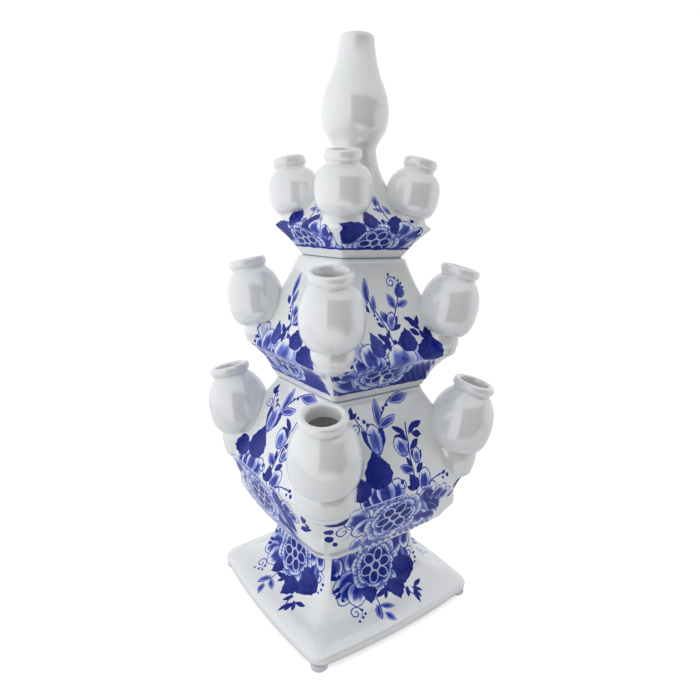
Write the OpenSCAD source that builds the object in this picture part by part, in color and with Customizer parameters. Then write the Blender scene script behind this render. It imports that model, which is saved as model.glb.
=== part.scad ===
// Tulip tower in glazed earthenware: a flared pedestal, three square water
// tiers that lift off one another, twelve corner spouts and a bottle finial.
// The origin is on the table under the tower's axis; the front faces -Y.

/* [Pedestal] */
// Width of the pedestal's foot across the flats
pedestal_w = 148; // [138:1:160]
// Height from the table to the top of the pedestal's neck
pedestal_h = 66; // [60:1:74]
// Width of the pedestal's neck across the flats
pedestal_neck_w = 80; // [76:1:88]
// Height of the upright edge round the foot
pedestal_edge_h = 5; // [3:0.5:7]
// How far the foot's sides swell in plan
pedestal_swell = 3.5; // [1:0.5:5]
// Diameter of the pads under the corners
pad_d = 11; // [8:0.5:12]
// Height of the pads under the corners
pad_h = 3.5; // [2:0.5:5]
// Distance of a pad's centre from the foot's corner
pad_inset = 10.5; // [9:0.5:12]

/* [Lower tier] */
// Width of the lower tier's foot across the flats
lower_foot_w = 119; // [112:1:124]
// Width of the lower tier at its eaves
lower_eave_w = 141; // [136:1:146]
// Height of the eaves above the tier's foot
lower_eave_h = 39; // [36:1:42]
// Width of the lower tier at its shoulders
lower_shoulder_w = 80; // [78:1:86]
// Height of the lower tier, foot to flat top
lower_h = 97.5; // [92:0.5:104]

/* [Middle tier] */
// Width of the middle tier's foot across the flats
middle_foot_w = 80; // [77:1:84]
// Width of the middle tier at its eaves
middle_eave_w = 112; // [107:1:117]
// Height of the eaves above the tier's foot
middle_eave_h = 25; // [22:0.5:28]
// Width of the middle tier at its shoulders
middle_shoulder_w = 58; // [56:1:62]
// Height of the middle tier, foot to flat top
middle_h = 88.5; // [84:0.5:94]

/* [Top tier] */
// Width of the top tier's foot across the flats
top_foot_w = 54; // [52:1:58]
// Width of the top tier at its eaves
top_eave_w = 81; // [78:1:85]
// Height of the eaves above the tier's foot
top_eave_h = 19.5; // [17:0.5:22]
// Diameter of the round neck under the finial
top_neck_d = 29; // [27:0.5:32]
// Height of the top tier, foot to the finial's seat
top_h = 69; // [65:1:74]

/* [Lower spouts] */
// Lean away from upright, in degrees
lower_spout_lean = 15; // [12:0.5:18]
// Length from the seat to the lip
lower_spout_l = 50; // [46:1:54]
// Widest diameter of the bulb
lower_bulb_d = 42.5; // [40:0.5:45]
// Diameter of the pinched foot on its collar
lower_waist_d = 30; // [28:0.5:32]
// Diameter of the drawn-in neck
lower_throat_d = 23.6; // [22:0.2:25]
// Diameter of the rolled lip
lower_lip_d = 27.8; // [26:0.2:29]
// Opening at the lip
lower_bore_d = 20.4; // [18:0.2:21]
// Distance of the seat from the eaves' corner, along the diagonal
lower_seat_in = 22.5; // [21:0.5:24]
// Height of the seat above the eaves
lower_seat_up = 15.5; // [14:0.5:17]

/* [Middle spouts] */
// Lean away from upright, in degrees
middle_spout_lean = 14; // [11:0.5:17]
// Length from the seat to the lip
middle_spout_l = 44; // [40:1:48]
// Widest diameter of the bulb
middle_bulb_d = 38; // [36:0.5:40]
// Diameter of the pinched foot on its collar
middle_waist_d = 26; // [24:0.5:28]
// Diameter of the drawn-in neck
middle_throat_d = 21.8; // [20:0.2:23]
// Diameter of the rolled lip
middle_lip_d = 24.6; // [23:0.2:26]
// Opening at the lip
middle_bore_d = 17.8; // [16:0.2:18.4]
// Distance of the seat from the eaves' corner, along the diagonal
middle_seat_in = 15.3; // [14:0.1:17]
// Height of the seat above the eaves
middle_seat_up = 14.5; // [13:0.5:16]

/* [Top spouts] */
// Lean away from upright, in degrees
top_spout_lean = 12; // [9:0.5:15]
// Length from the seat to the lip
top_spout_l = 35.5; // [33:0.5:39]
// Widest diameter of the bulb
top_bulb_d = 34; // [32:0.5:36]
// Diameter of the pinched foot on its collar
top_waist_d = 24; // [22:0.5:26]
// Diameter of the drawn-in neck
top_throat_d = 20.4; // [19:0.2:22]
// Diameter of the rolled lip
top_lip_d = 21.8; // [20:0.2:23]
// Opening at the lip
top_bore_d = 15.6; // [14:0.2:16]
// Distance of the seat from the eaves' corner, along the diagonal
top_seat_in = 20.4; // [19:0.1:22]
// Height of the seat above the eaves
top_seat_up = 8.5; // [7:0.5:10]

/* [Finial] */
// Height of the finial above its seat
finial_h = 69; // [64:1:76]
// Widest diameter of the finial
finial_d = 42.6; // [40:0.2:45]
// Outer diameter of the finial's mouth
finial_mouth_d = 19; // [17:0.5:21]
// Bore of the finial's mouth
finial_bore_d = 12.2; // [11:0.2:13]

/* [Walls] */
// Thickness of the cast walls
wall = 4.5; // [4:0.25:5]
// Thickness of the spouts' necks
throat_wall = 3.2; // [2.8:0.1:3.4]
// Height of the locating ring under each tier
ring_h = 6; // [4:0.5:8]
// Clearance round a locating ring, on the radius
ring_gap = 0.8; // [0.5:0.1:1.2]

/* [Hidden] */
$fn = 64;

// Levels of the stack
lower_z = pedestal_h;
middle_z = lower_z + lower_h;
top_z = middle_z + middle_h;
finial_z = top_z + top_h;

// Pedestal: edge's draw, brow over it, sweep of the flank, collar at the neck
edge_draw = 0.8;
brow = 6;
sweep_in = 4;
sweep_h = 11;
collar_h = 20;
collar_draw = 2;
neck_swell = 1;
pedestal_round = 10;
pedestal_neck_round = 9;
// Pedestal's hollow: width of the foot's rim and rounding of its corners
rim = 7;
rim_draw = 0.5;
rim_round = 22;

// Least swell of a side, so that no face is dead flat, and a slight one
flat = 0.3;
slight = 0.5;
fuller = 1;
full = 2;

// White strip at the bottom of each tier: its height and how far it draws in
strip_h = 3.5;
strip_draw = 1.2;
// Edge over the strip on the two upper tiers: its height and spread
band_h = 6.5;
middle_band = 2;
top_band = 2.5;
// Rounded shoulder at the top of a tier: its height and width
shoulder_h = 3;
shoulder_in = 3.5;

// Corner rounding, foot to top
lower_foot_round = 13;
lower_belt_round = 11;
lower_flank_round = 26;
lower_eave_round = 20;
lower_roof_round = 12;
foot_round = 4;
eave_round = 5;
middle_roof_round = 7;
top_roof_round = 11;
shoulder_round = 6;
crown_round = 4;
neck_flat = 1.5;
// Hollow in each tier: how far it stays inside the eaves, and its rounding
lower_hollow_in = 1;
middle_hollow_in = 8;
top_hollow_in = 9;
lower_hollow_round = 22;
middle_hollow_round = 12;
top_hollow_round = 15;
// How far the two roofs hang in between eaves and shoulder
lower_roof_sag = 2;
middle_roof_sag = 4;

// Where each set of spouts is seated
lower_seat_r = lower_eave_w / sqrt(2) - lower_seat_in;
lower_seat_z = lower_eave_h + lower_seat_up;
middle_seat_r = middle_eave_w / sqrt(2) - middle_seat_in;
middle_seat_z = middle_eave_h + middle_seat_up;
top_seat_r = top_eave_w / sqrt(2) - top_seat_in;
top_seat_z = top_eave_h + top_seat_up;

// Flare of each spout's collar: its diameter, its drop and its root in the corner
lower_flare_d = 42;
lower_flare_l = 13;
lower_root_l = 29;
middle_flare_d = 36;
middle_flare_l = 11;
middle_root_l = 19;
top_flare_d = 33;
top_flare_l = 8;
top_root_l = 13;
flare_curl = 0.6;
flare_tuck = 2;
root_r = 4;

// Spouts: height of the bulge as a share of the length, the bulb's wall,
// the rolled lip's fullness, and the hole from a spout into its tier
lower_bulge = 0.38;
middle_bulge = 0.39;
top_bulge = 0.34;
bulb_wall = 3.6;
lip_roll = 0.8;
lip_face = 1.6;
waist_wall = 5;
drain_l = 14;

// Finial: its rim's rounding
rim_roll = 1.6;

// Round filling mouths in the flat tops, which take the rings of the tier above
pedestal_mouth_r = 25;
lower_mouth_r = 25;
middle_mouth_r = 16;

// Points of a quadratic curve from a to c, drawn towards b, without its first point
function curve(a, b, c, n) =
    [for (i = [1:n]) let (t = i / n) (1 - t) * (1 - t) * a + 2 * t * (1 - t) * b + t * t * c];

// Turns a point about the axis
function spin(p, a) = [p.x * cos(a) - p.y * sin(a), p.x * sin(a) + p.y * cos(a), p.z];

// One level of a casting: a rounded square with swollen sides
corner_steps = 4;
side_steps = 3;
function section(half, round, swell, z) =
    let (c = half - swell - round)
    [for (quarter = [0:3])
        each [
            for (i = [0:corner_steps])
                let (a = 90 * i / corner_steps)
                spin([c + round * cos(a), c + round * sin(a), z], 90 * quarter),
            for (i = [1:side_steps])
                let (t = 1 - 2 * i / (side_steps + 1))
                spin([c * t, half - swell * t * t, z], 90 * quarter)
        ]];

// A closed skin through levels of [half width, height, corner radius, swell]
module loft(levels) {
    rings = [for (q = levels) section(q[0], q[2], q[3], q[1])];
    n = len(rings[0]);
    last = (len(rings) - 1) * n;
    sides = [for (k = [0:len(rings) - 2]) for (i = [0:n - 1])
        let (j = (i + 1) % n, a = k * n)
        each [[a + i, a + n + i, a + n + j], [a + i, a + n + j, a + j]]];
    under = [for (i = [0:n - 1]) i];
    over = [for (i = [n - 1:-1:0]) last + i];
    polyhedron([for (r = rings) each r], concat(sides, [under], [over]), convexity = 8);
}

// Turns a child to one of the square's corners: 0 front right, then anticlockwise
module to_corner(corner)
    rotate(90 * corner - 45) children();

// Places a child on its corner, leaning outwards along the diagonal
module on_corner(corner, radius, z, lean)
    to_corner(corner) translate([radius, 0, z]) rotate([0, lean, 0]) children();

// Pedestal: a square foot that sweeps up to a narrow neck
module pedestal() {
    foot = pedestal_w / 2;
    neck = pedestal_neck_w / 2;
    edge_z = pad_h + pedestal_edge_h;
    edge = [foot, edge_z, pedestal_round, pedestal_swell];
    over = [foot - brow, edge_z + brow, pedestal_round, pedestal_swell];
    collar = [neck, pedestal_h - collar_h, pedestal_neck_round, neck_swell];
    outside = concat(
        [[foot - edge_draw, pad_h, pedestal_round, pedestal_swell], edge],
        curve(edge, [foot - brow / 12, edge_z + 0.75 * brow, pedestal_round, pedestal_swell], over, 2),
        curve(over, [neck + sweep_in, edge_z + sweep_h, pedestal_neck_round, neck_swell], collar, 6),
        [[neck - collar_draw, pedestal_h, pedestal_neck_round, neck_swell]]);
    sill = [foot - rim - rim_draw, edge_z, rim_round, neck_swell];
    throat = [neck - wall - collar_draw / 2, pedestal_h - collar_h - collar_draw,
              pedestal_neck_round, neck_swell];
    hollow = concat(
        [[foot - rim, pad_h - fuller, rim_round, neck_swell], sill],
        curve(sill, [neck - collar_draw, edge_z + sweep_in, pedestal_neck_round, neck_swell], throat, 5),
        [[neck - wall - collar_draw, pedestal_h - wall, pedestal_neck_round, neck_swell]]);
    color("white")
    difference() {
        loft(outside);
        loft(hollow);
        translate([0, 0, pedestal_h - 2 * wall]) cylinder(r = pedestal_mouth_r, h = 3 * wall);
    }
}

// Pad under one corner of the pedestal
module foot_pad(corner) {
    reach = (pedestal_w / 2 - pedestal_swell) * sqrt(2) - pad_inset;
    color("gainsboro") to_corner(corner) translate([reach, 0, 0]) cylinder(d = pad_d, h = pad_h);
}

// Collar of a spout: it flares from the seat and tucks back under into the corner
module spout_collar(waist_d, flare_d, flare_l, root_l) {
    waist = waist_d / 2;
    flare = flare_d / 2;
    rotate_extrude()
    polygon(concat([[0, 0], [waist, 0]],
        curve([waist, 0], [waist + flare_curl, flare_curl - flare_l], [flare, -flare_l], 4),
        [[flare - flare_curl, -flare_l - flare_tuck], [root_r, -root_l], [0, -root_l]]));
}

// Spout: pinched foot, round bulb, drawn-in neck and a rolled lip round its bore
function spout_outside(l, bulb, waist, throat, lip, bulge) =
    let (belly = [bulb, l * bulge],
         neck = [throat + lip_roll, l * 0.78],
         under = [lip - lip_roll, l * 0.9])
    concat([[waist, 0]],
        curve([waist, 0], [bulb, l * 0.08], belly, 4),
        curve(belly, [bulb, l * 0.68], neck, 4),
        curve(neck, [throat - lip_roll, l * 0.83], under, 2),
        curve(under, [lip + lip_roll, l * 0.97], [lip - lip_face, l], 3));

// Its inside, from the lip down: a straight throat over the hollow bulb
function spout_inside(l, bulb, waist, throat, bore, bulge) =
    let (pipe = throat - throat_wall, room = bulb - bulb_wall)
    concat([[bore, l]],
        curve([bore, l], [pipe, l * 0.97], [pipe, l * 0.92], 2),
        [[pipe, l * 0.82]],
        curve([pipe, l * 0.82], [room, l * 0.72], [room, l * bulge], 3),
        curve([room, l * bulge], [room, l * 0.12], [waist - waist_wall, 0], 3));

// Sizes of one spout in each set: length, radii of bulb, waist, throat, lip and bore, bulge
lower_sizes = [lower_spout_l, lower_bulb_d / 2, lower_waist_d / 2, lower_throat_d / 2,
               lower_lip_d / 2, lower_bore_d / 2, lower_bulge];
middle_sizes = [middle_spout_l, middle_bulb_d / 2, middle_waist_d / 2, middle_throat_d / 2,
                middle_lip_d / 2, middle_bore_d / 2, middle_bulge];
top_sizes = [top_spout_l, top_bulb_d / 2, top_waist_d / 2, top_throat_d / 2,
             top_lip_d / 2, top_bore_d / 2, top_bulge];

module spout(s)
    rotate_extrude()
    polygon(concat(
        spout_outside(s[0], s[1], s[2], s[3], s[4], s[6]),
        spout_inside(s[0], s[1], s[2], s[3], s[5], s[6])));

// Room that a spout and its drain take out of the tier
module spout_room(s)
    rotate_extrude()
    polygon(concat(
        [[0, s[0]], [0, -drain_l], [s[2] - waist_wall, -drain_l], [s[2] - waist_wall, 0]],
        spout_outside(s[0], s[1], s[2], s[3], s[4], s[6])));

// Locating ring under a tier
module locating_ring(mouth_r) {
    ring_r = mouth_r - ring_gap;
    translate([0, 0, -ring_h])
    difference() {
        cylinder(r = ring_r, h = ring_h + wall);
        translate([0, 0, -wall]) cylinder(r = ring_r - wall, h = ring_h + wall);
    }
}

// Filling mouth through a tier's flat top
module filling_mouth(mouth_r, top)
    translate([0, 0, top - 2 * wall]) cylinder(r = mouth_r, h = 3 * wall);

// Lower tier: a tapered band under broad eaves and a straight sloping roof
module lower_tier() {
    foot = lower_foot_w / 2;
    eave = lower_eave_w / 2;
    shoulder = lower_shoulder_w / 2;
    eaves = [eave, lower_eave_h, lower_eave_round, fuller];
    roof = [0.53 * (eave + shoulder) - lower_roof_sag, 0.5 * (lower_eave_h + lower_h),
            lower_roof_round, slight];
    top = [shoulder, lower_h - shoulder_h, shoulder_round, flat];
    crown = [shoulder - shoulder_in, lower_h, crown_round, flat];
    outside = concat(
        [[foot - strip_draw, 0, lower_foot_round, full],
         [foot, strip_h, lower_foot_round, full],
         [foot + 0.3 * (eave - foot), 0.26 * lower_eave_h, lower_belt_round, fuller + slight],
         [foot + 0.6 * (eave - foot), 0.56 * lower_eave_h, lower_flank_round, fuller],
         eaves],
        curve(eaves, roof, top, 4),
        curve(top, [shoulder - slight, lower_h, eave_round, flat], crown, 2));
    hollow = [[foot - wall, wall, lower_foot_round, flat],
        [eave - wall - lower_hollow_in, lower_eave_h, lower_hollow_round, flat],
        [shoulder - wall, lower_h - wall, crown_round, flat]];
    color("white") translate([0, 0, lower_z])
    difference() {
        union() {
            loft(outside);
            locating_ring(pedestal_mouth_r);
            for (corner = [0:3])
                on_corner(corner, lower_seat_r, lower_seat_z, lower_spout_lean)
                    spout_collar(lower_waist_d, lower_flare_d, lower_flare_l, lower_root_l);
        }
        loft(hollow);
        filling_mouth(lower_mouth_r, lower_h);
        for (corner = [0:3])
            on_corner(corner, lower_seat_r, lower_seat_z, lower_spout_lean) spout_room(lower_sizes);
    }
}

module lower_spout(corner)
    color("white") translate([0, 0, lower_z])
    on_corner(corner, lower_seat_r, lower_seat_z, lower_spout_lean) spout(lower_sizes);

// Middle tier: eaves close above its foot and a tall sloping roof
module middle_tier() {
    foot = middle_foot_w / 2;
    eave = middle_eave_w / 2;
    shoulder = middle_shoulder_w / 2;
    band = [foot + middle_band, band_h, foot_round, flat];
    eaves = [eave, middle_eave_h, eave_round, slight];
    roof = [0.5 * (eave + shoulder) - middle_roof_sag, 0.5 * (middle_eave_h + middle_h),
            middle_roof_round, slight];
    top = [shoulder, middle_h - shoulder_h, shoulder_round, flat];
    crown = [shoulder - shoulder_in, middle_h, crown_round, flat];
    outside = concat(
        [[foot - strip_draw, 0, foot_round, flat], band],
        curve(band, [foot + 0.75 * (eave - foot), 0.5 * middle_eave_h, eave_round, slight], eaves, 3),
        curve(eaves, roof, top, 4),
        curve(top, [shoulder - slight, middle_h, eave_round, flat], crown, 2));
    hollow = [[foot - wall, wall, eave_round, flat],
        [eave - wall - middle_hollow_in, middle_eave_h, middle_hollow_round, flat],
        [shoulder - wall, middle_h - wall, middle_hollow_round, flat]];
    color("white") translate([0, 0, middle_z])
    difference() {
        union() {
            loft(outside);
            locating_ring(lower_mouth_r);
            for (corner = [0:3])
                on_corner(corner, middle_seat_r, middle_seat_z, middle_spout_lean)
                    spout_collar(middle_waist_d, middle_flare_d, middle_flare_l, middle_root_l);
        }
        loft(hollow);
        filling_mouth(middle_mouth_r, middle_h);
        for (corner = [0:3])
            on_corner(corner, middle_seat_r, middle_seat_z, middle_spout_lean) spout_room(middle_sizes);
    }
}

module middle_spout(corner)
    color("white") translate([0, 0, middle_z])
    on_corner(corner, middle_seat_r, middle_seat_z, middle_spout_lean) spout(middle_sizes);

// Top tier: its roof sweeps up into a round neck under the finial
module top_tier() {
    foot = top_foot_w / 2;
    eave = top_eave_w / 2;
    neck = top_neck_d / 2;
    band = [foot + top_band, band_h, foot_round, flat];
    eaves = [eave, top_eave_h, eave_round, slight];
    collar = [neck, top_h, neck - neck_flat, flat];
    outside = concat(
        [[foot - strip_draw, 0, foot_round, flat], band],
        curve(band, [foot + 0.75 * (eave - foot), 0.55 * top_eave_h, eave_round, slight], eaves, 3),
        curve(eaves, [neck + slight, 0.6 * top_h, top_roof_round, flat], collar, 6));
    wide = [eave - wall - top_hollow_in, top_eave_h, top_hollow_round, flat];
    pipe = neck - wall;
    hollow = concat(
        [[foot - wall, wall, eave_round, flat], wide],
        curve(wide, [pipe, 0.55 * top_h, pipe - neck_flat, flat],
              [pipe, top_h + wall, pipe - neck_flat, flat], 4));
    color("white") translate([0, 0, top_z])
    difference() {
        union() {
            loft(outside);
            locating_ring(middle_mouth_r);
            for (corner = [0:3])
                on_corner(corner, top_seat_r, top_seat_z, top_spout_lean)
                    spout_collar(top_waist_d, top_flare_d, top_flare_l, top_root_l);
        }
        loft(hollow);
        for (corner = [0:3])
            on_corner(corner, top_seat_r, top_seat_z, top_spout_lean) spout_room(top_sizes);
    }
}

module top_spout(corner)
    color("white") translate([0, 0, top_z])
    on_corner(corner, top_seat_r, top_seat_z, top_spout_lean) spout(top_sizes);

// Finial: a bottle-shaped flower holder on the top tier's neck
module finial() {
    seat = top_neck_d / 2;
    wide = finial_d / 2;
    mouth = finial_mouth_d / 2;
    bore = finial_bore_d / 2;
    belly = [wide, 0.3 * finial_h];
    slope = [0.5 * (wide + mouth), 0.62 * finial_h];
    neck = [mouth, 0.95 * finial_h];
    outside = concat([[seat, 0]],
        curve([seat, 0], [wide, 0.12 * finial_h], belly, 5),
        curve(belly, [wide, 0.46 * finial_h], slope, 5),
        curve(slope, [1.13 * mouth, 0.78 * finial_h], neck, 4),
        curve(neck, [mouth, finial_h], [mouth - rim_roll, finial_h], 3));
    throat = [bore, 0.86 * finial_h];
    bend = [slope[0] - wall, 0.6 * finial_h];
    room = [wide - wall, 0.3 * finial_h];
    hollow = concat([[bore, finial_h], throat],
        curve(throat, [bore, 0.72 * finial_h], bend, 3),
        curve(bend, [wide - wall, 0.46 * finial_h], room, 3),
        curve(room, [wide - wall, 0.12 * finial_h], [seat - wall, 0], 3));
    color("white") translate([0, 0, finial_z]) rotate_extrude() polygon(concat(outside, hollow));
}

pedestal();
foot_pad(0);  // foot_pad_front_right
foot_pad(1);  // foot_pad_back_right
foot_pad(2);  // foot_pad_back_left
foot_pad(3);  // foot_pad_front_left
lower_tier();
lower_spout(0);  // lower_spout_front_right
lower_spout(1);  // lower_spout_back_right
lower_spout(2);  // lower_spout_back_left
lower_spout(3);  // lower_spout_front_left
middle_tier();
middle_spout(0);  // middle_spout_front_right
middle_spout(1);  // middle_spout_back_right
middle_spout(2);  // middle_spout_back_left
middle_spout(3);  // middle_spout_front_left
top_tier();
top_spout(0);  // top_spout_front_right
top_spout(1);  // top_spout_back_right
top_spout(2);  // top_spout_back_left
top_spout(3);  // top_spout_front_left
finial();
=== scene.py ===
import math
import bmesh
import bpy
from mathutils import Matrix, Vector


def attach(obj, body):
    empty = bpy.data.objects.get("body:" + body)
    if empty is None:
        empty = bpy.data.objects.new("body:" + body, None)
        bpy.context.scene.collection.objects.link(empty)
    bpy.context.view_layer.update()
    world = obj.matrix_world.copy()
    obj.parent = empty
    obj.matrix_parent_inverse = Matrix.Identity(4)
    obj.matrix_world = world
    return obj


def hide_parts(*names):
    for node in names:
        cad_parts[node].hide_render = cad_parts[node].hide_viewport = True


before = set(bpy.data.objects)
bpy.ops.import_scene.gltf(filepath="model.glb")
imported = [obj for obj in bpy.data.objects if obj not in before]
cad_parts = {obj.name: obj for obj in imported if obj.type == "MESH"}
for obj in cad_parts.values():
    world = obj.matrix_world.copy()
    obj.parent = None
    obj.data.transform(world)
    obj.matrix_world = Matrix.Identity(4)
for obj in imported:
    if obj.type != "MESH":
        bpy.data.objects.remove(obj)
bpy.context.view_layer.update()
mm = 0.001  # the shapes below are in millimetres
corners = {"front_right": -45, "back_right": 45, "back_left": 135, "front_left": -135}


# small helpers for working by hand in edit mode

meshSet = {"cornerSteps": 8, "sideSteps": 11, "weld": 0.002}


def clearSelection():
    if bpy.context.object and bpy.context.object.mode != "OBJECT":
        bpy.ops.object.mode_set(mode="OBJECT")
    bpy.ops.object.select_all(action="DESELECT")


def pick(piece):
    clearSelection()
    piece.select_set(True)
    bpy.context.view_layer.objects.active = piece


def applied(piece, kind, **settings):
    pick(piece)
    modifier = piece.modifiers.new(kind.title(), kind)
    for name, value in settings.items():
        setattr(modifier, name, value)
    bpy.ops.object.modifier_apply(modifier=modifier.name)


def curve(a, b, c, count):  # points from a to c, drawn towards b, without a itself
    points = []
    for i in range(1, count + 1):
        t = i / count
        weights = ((1 - t) ** 2, 2 * t * (1 - t), t * t)
        points.append(tuple(sum(w * v for w, v in zip(weights, values)) for values in zip(a, b, c)))
    return points


def ringPoints(half, z, rounding, swell):  # a rounded square with swollen sides
    inner = half - swell - rounding
    quarter = []
    for i in range(meshSet["cornerSteps"] + 1):
        angle = math.pi / 2 * i / meshSet["cornerSteps"]
        quarter.append((inner + rounding * math.cos(angle), inner + rounding * math.sin(angle)))
    for i in range(1, meshSet["sideSteps"] + 1):
        t = 1 - 2 * i / (meshSet["sideSteps"] + 1)
        quarter.append((inner * t, half - swell * t * t))
    points = []
    for turn in range(4):
        points += [Vector((x * mm, y * mm, z * mm)) for x, y in quarter]
        quarter = [(-y, x) for x, y in quarter]
    return points


def selectRings(skin, rings, count):
    shape = bmesh.from_edit_mesh(skin.data)
    shape.select_mode = {"VERT"}
    for vert in shape.verts:
        vert.select = vert.index // count in rings
    shape.select_flush_mode()
    bmesh.update_edit_mesh(skin.data)


def castSkin(name, levels, ends=True):  # bridges rings of [half width, height, rounding, swell]
    rings = [ringPoints(*level) for level in levels]
    count = len(rings[0])
    clearSelection()
    bpy.ops.mesh.primitive_circle_add(vertices=count, radius=levels[0][0] * mm)
    skin = bpy.context.object
    skin.name = name
    bpy.ops.object.mode_set(mode="EDIT")
    bpy.context.tool_settings.mesh_select_mode = (True, False, False)
    for half, z, rounding, swell in levels[1:]:
        bpy.ops.mesh.primitive_circle_add(vertices=count, radius=half * mm, location=(0, 0, z * mm))
    shape = bmesh.from_edit_mesh(skin.data)
    shape.verts.index_update()
    shape.verts.ensure_lookup_table()
    for vert, point in zip(shape.verts, [p for ring in rings for p in ring]):
        vert.co = point
    last = len(rings) - 1
    for ring in range(last):
        selectRings(skin, (ring, ring + 1), count)
        bpy.ops.mesh.bridge_edge_loops()
    if ends:
        for ring in (0, last):
            selectRings(skin, (ring,), count)
            bpy.ops.mesh.edge_face_add()
    else:
        selectRings(skin, (0, last), count)
        bpy.ops.mesh.bridge_edge_loops()
    bpy.ops.mesh.select_all(action="SELECT")
    bpy.ops.mesh.normals_make_consistent(inside=False)
    bpy.ops.object.mode_set(mode="OBJECT")
    return skin


def spun(name, profile, steps):  # extrudes a point along [radius, height] and spins it
    clearSelection()
    bpy.ops.mesh.primitive_plane_add(size=mm)
    piece = bpy.context.object
    piece.name = name
    bpy.ops.object.mode_set(mode="EDIT")
    bpy.context.tool_settings.mesh_select_mode = (True, False, False)
    bpy.ops.mesh.merge(type="CENTER")
    bpy.ops.transform.translate(value=(profile[0][0] * mm, 0, profile[0][1] * mm))
    for (r0, z0), (r1, z1) in zip(profile, profile[1:]):
        step = ((r1 - r0) * mm, 0, (z1 - z0) * mm)
        bpy.ops.mesh.extrude_vertices_move(TRANSFORM_OT_translate={"value": step})
    bpy.ops.mesh.select_all(action="SELECT")
    bpy.ops.mesh.spin(steps=steps, angle=2 * math.pi, center=(0, 0, 0), axis=(0, 0, 1))
    bpy.ops.mesh.select_all(action="SELECT")
    bpy.ops.mesh.remove_doubles(threshold=meshSet["weld"] * mm)
    bpy.ops.mesh.normals_make_consistent(inside=False)
    bpy.ops.object.mode_set(mode="OBJECT")
    return piece


def settle(piece, matrix):  # puts the place into the mesh
    pick(piece)
    piece.matrix_world = matrix
    bpy.ops.object.transform_apply(location=True, rotation=True, scale=True)


def copied(piece, name):
    pick(piece)
    bpy.ops.object.duplicate(linked=False)
    twin = bpy.context.object
    twin.name = name
    twin.data.name = name
    return twin


def turned(degrees, axis="Z"):
    return Matrix.Rotation(math.radians(degrees), 4, axis)


def onCorner(s, turn):  # seat of a spout on its corner, leaning outwards
    seat = Matrix.Translation((s["seatR"] * mm, 0, s["seatZ"] * mm))
    return turned(turn) @ seat @ turned(s["lean"], "Y")


# shader values that take Python operators

class Shade:
    def __init__(self, tree, out=None):
        self.tree = tree
        self.out = out

    def node(self, kind, settings, sockets, output=0):
        made = self.tree.nodes.new(kind)
        for name, value in settings.items():
            if name == "stops":  # places and colours of a ramp, its two ends first
                stops = made.color_ramp.elements
                for i, (place, colour) in enumerate(value):
                    stop = stops[i] if i < 2 else stops.new(place)
                    stop.position = place
                    stop.color = colour
            elif name == "points":  # places and heights of a line, its two ends first
                line = made.mapping.curves[0].points
                for i, place in enumerate(value):
                    point = line[i] if i < 2 else line.new(*place)
                    point.location = place
                for point in line:
                    point.handle_type = "VECTOR"
                made.mapping.update()
            else:
                setattr(made, name, value)
        for key, value in sockets.items():
            if isinstance(value, Shade):
                value.feed(made, key)
            else:
                made.inputs[key].default_value = value
        return Shade(self.tree, made.outputs[output])

    def feed(self, node, socket):
        self.tree.links.new(self.out, node.inputs[socket])

    def output(self, name):  # another output of the same node
        return Shade(self.tree, self.out.node.outputs[name])

    def maths(self, operation, *values):
        return self.node("ShaderNodeMath", {"operation": operation}, dict(enumerate(values)))

    def __add__(self, other):
        return self.maths("ADD", self, other)

    def __sub__(self, other):
        return self.maths("SUBTRACT", self, other)

    def __rsub__(self, other):
        return self.maths("SUBTRACT", other, self)

    def __mul__(self, other):
        return self.maths("MULTIPLY", self, other)

    def __truediv__(self, other):
        return self.maths("DIVIDE", self, other)

    def __rtruediv__(self, other):
        return self.maths("DIVIDE", other, self)

    def __abs__(self):
        return self.maths("ABSOLUTE", self)

    __radd__ = __add__
    __rmul__ = __mul__

    def over(self, scale, shift=0.5):  # a soft edge: below 0 outside, above 1 inside
        return self.maths("MULTIPLY_ADD", self, scale, shift)

    def least(self, other):
        return self.maths("MINIMUM", self, other)

    def most(self, other):
        return self.maths("MAXIMUM", self, other)

    def mixed(self, a, b):  # a where this is 0, b where it is 1
        return self.node("ShaderNodeMix", {"data_type": "FLOAT"}, {0: self, 2: a, 3: b})

    def xyz(self):
        parts = self.node("ShaderNodeSeparateXYZ", {}, {0: self})
        return [parts.output(name) for name in ("X", "Y", "Z")]

    def noise(self, scale, detail):
        return self.node("ShaderNodeTexNoise", {}, {"Vector": self, "Scale": scale, "Detail": detail})

    def bent(self, points):  # reads a value off a line through points
        return self.node("ShaderNodeFloatCurve", {"points": points}, {"Value": self})

    def ramp(self, stops):
        return self.node("ShaderNodeValToRGB", {"stops": stops}, {0: self})


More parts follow.
